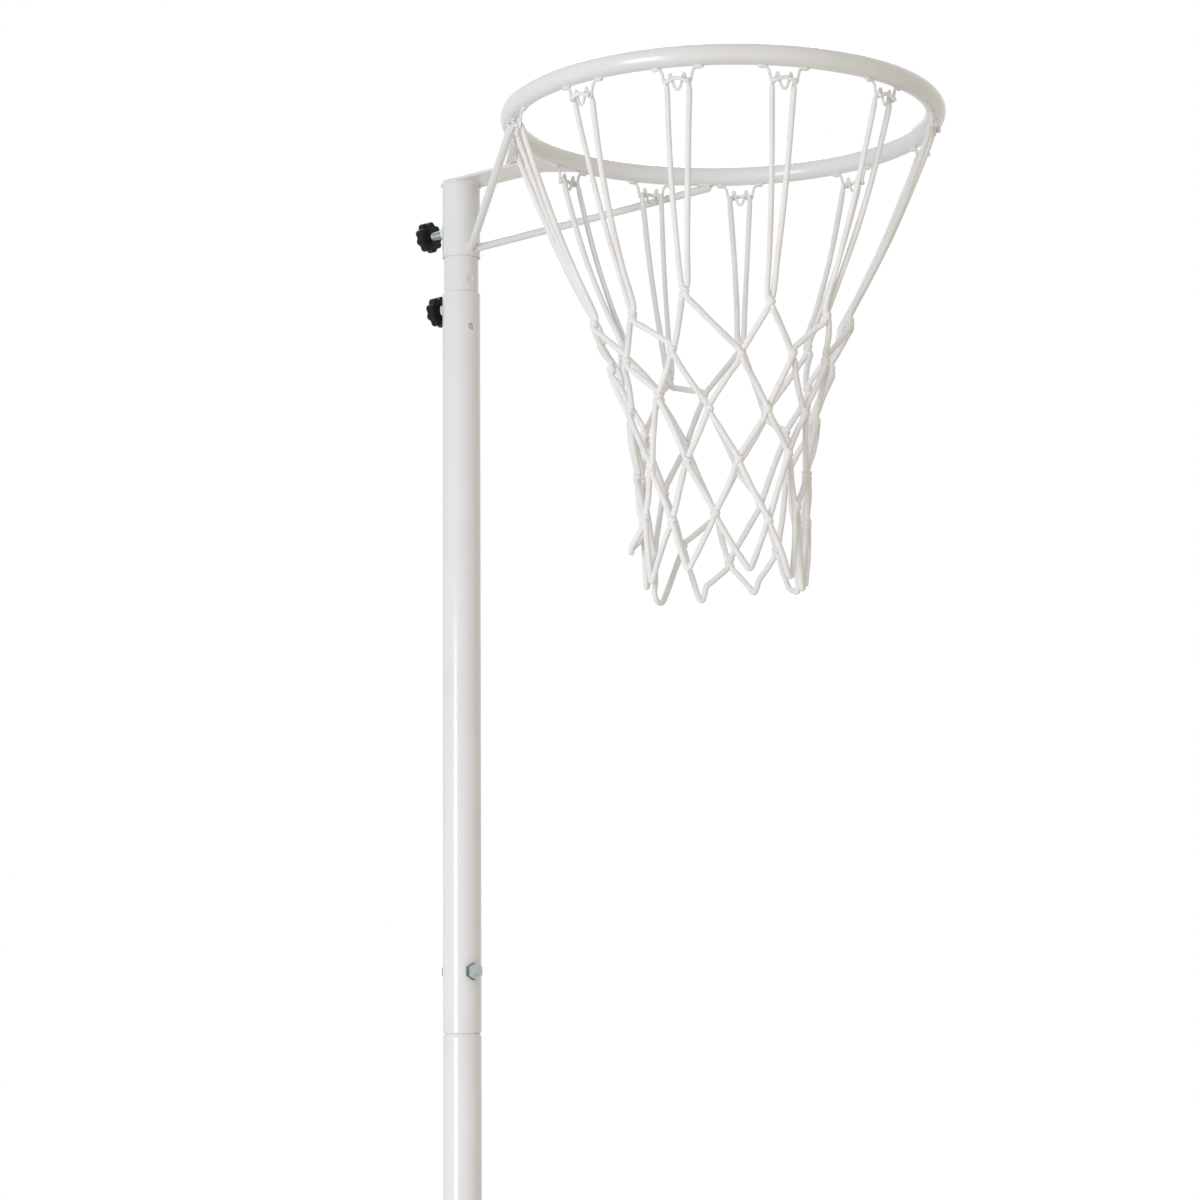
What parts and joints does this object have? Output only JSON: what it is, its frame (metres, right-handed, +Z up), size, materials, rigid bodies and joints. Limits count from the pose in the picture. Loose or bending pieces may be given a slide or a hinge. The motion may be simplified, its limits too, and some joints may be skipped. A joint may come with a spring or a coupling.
{
  "type": "netball post",
  "caption": "Free-standing netball post: three bolted steel tubes on a round weighted base, a telescopic top clamped by knobs, and a hooked ring with a knotted net.",
  "frame": {"origin": "centre of the base's underside, on the post's axis", "axes": "+Z up along the post, +X from the post to the middle of the ring, +Y completes the right-handed frame"},
  "size_m": [0.848, 0.6, 2.4504],
  "materials": {
    "white_coated_steel": "glossy white powder coat",
    "zinc_plated_steel": "bright zinc plate",
    "black_plastic": "satin black moulded plastic",
    "white_cord": "white braided cord",
    "black_rubber": "matt black moulded rubber"
  },
  "bodies": {
    "post": {"base_disc": "black_rubber", "base_plate": "white_coated_steel", "base_spigot": "white_coated_steel", "base_bolt_1": "zinc_plated_steel", "base_washer_1": "zinc_plated_steel", "base_insert_1": "zinc_plated_steel", "base_bolt_2": "zinc_plated_steel", "base_washer_2": "zinc_plated_steel", "base_insert_2": "zinc_plated_steel", "base_bolt_3": "zinc_plated_steel", "base_washer_3": "zinc_plated_steel", "base_insert_3": "zinc_plated_steel", "base_bolt_4": "zinc_plated_steel", "base_washer_4": "zinc_plated_steel", "base_insert_4": "zinc_plated_steel", "tube_lower": "white_coated_steel", "tube_middle": "white_coated_steel", "tube_upper": "white_coated_steel", "bolt_lower": "zinc_plated_steel", "nut_lower": "zinc_plated_steel", "bolt_middle": "zinc_plated_steel", "nut_middle": "zinc_plated_steel", "bolt_upper": "zinc_plated_steel", "nut_upper": "zinc_plated_steel", "weld_nut_lower": "white_coated_steel"},
    "telescope": {"inner_tube": "white_coated_steel"},
    "head": {"sleeve": "white_coated_steel", "weld_nut_upper": "white_coated_steel", "arm_bar": "white_coated_steel", "gusset_plate": "white_coated_steel", "brace_left": "white_coated_steel", "brace_right": "white_coated_steel", "ring": "white_coated_steel", "net_hook_01": "white_coated_steel", "net_hook_02": "white_coated_steel", "net_hook_03": "white_coated_steel", "net_hook_04": "white_coated_steel", "net_hook_05": "white_coated_steel", "net_hook_06": "white_coated_steel", "net_hook_07": "white_coated_steel", "net_hook_08": "white_coated_steel", "net_hook_09": "white_coated_steel", "net_hook_10": "white_coated_steel", "net_hook_11": "white_coated_steel", "net_hook_12": "white_coated_steel", "net": "white_cord"},
    "lower_stud": {"stud_lower": "zinc_plated_steel"},
    "lower_knob": {"knob_lower": "black_plastic"},
    "upper_stud": {"stud_upper": "zinc_plated_steel"},
    "upper_knob": {"knob_upper": "black_plastic"}
  },
  "joints": [
    {"name": "telescope_slide", "type": "slide", "parent": "post", "child": "telescope", "axis": [0, 0, 1], "range_m": [0, 0.61]},
    {"name": "head_swivel", "type": "hinge", "parent": "telescope", "child": "head", "pos_m": [0, 0, 2.4014], "axis": [0, 0, 1], "continuous": true},
    {"name": "lower_stud_slide", "type": "slide", "parent": "post", "child": "lower_stud", "axis": [-1, 0, 0], "range_m": [0, 0.0038]},
    {"name": "lower_knob_turn", "type": "hinge", "parent": "lower_stud", "child": "lower_knob", "pos_m": [-0.028, 0, 2.3131], "axis": [-1, 0, 0], "range_deg": [0, 1080]},
    {"name": "upper_stud_slide", "type": "slide", "parent": "head", "child": "upper_stud", "axis": [-1, 0, 0], "range_m": [0, 0.0038]},
    {"name": "upper_knob_turn", "type": "hinge", "parent": "upper_stud", "child": "upper_knob", "pos_m": [-0.042, 0, 2.3931], "axis": [-1, 0, 0], "range_deg": [0, 1080]}
  ],
  "couplings": [
    {"joint": "lower_stud_slide", "follows": "lower_knob_turn", "m_per_rad": 0.00019894},
    {"joint": "upper_stud_slide", "follows": "upper_knob_turn", "m_per_rad": 0.00019894}
  ]
}
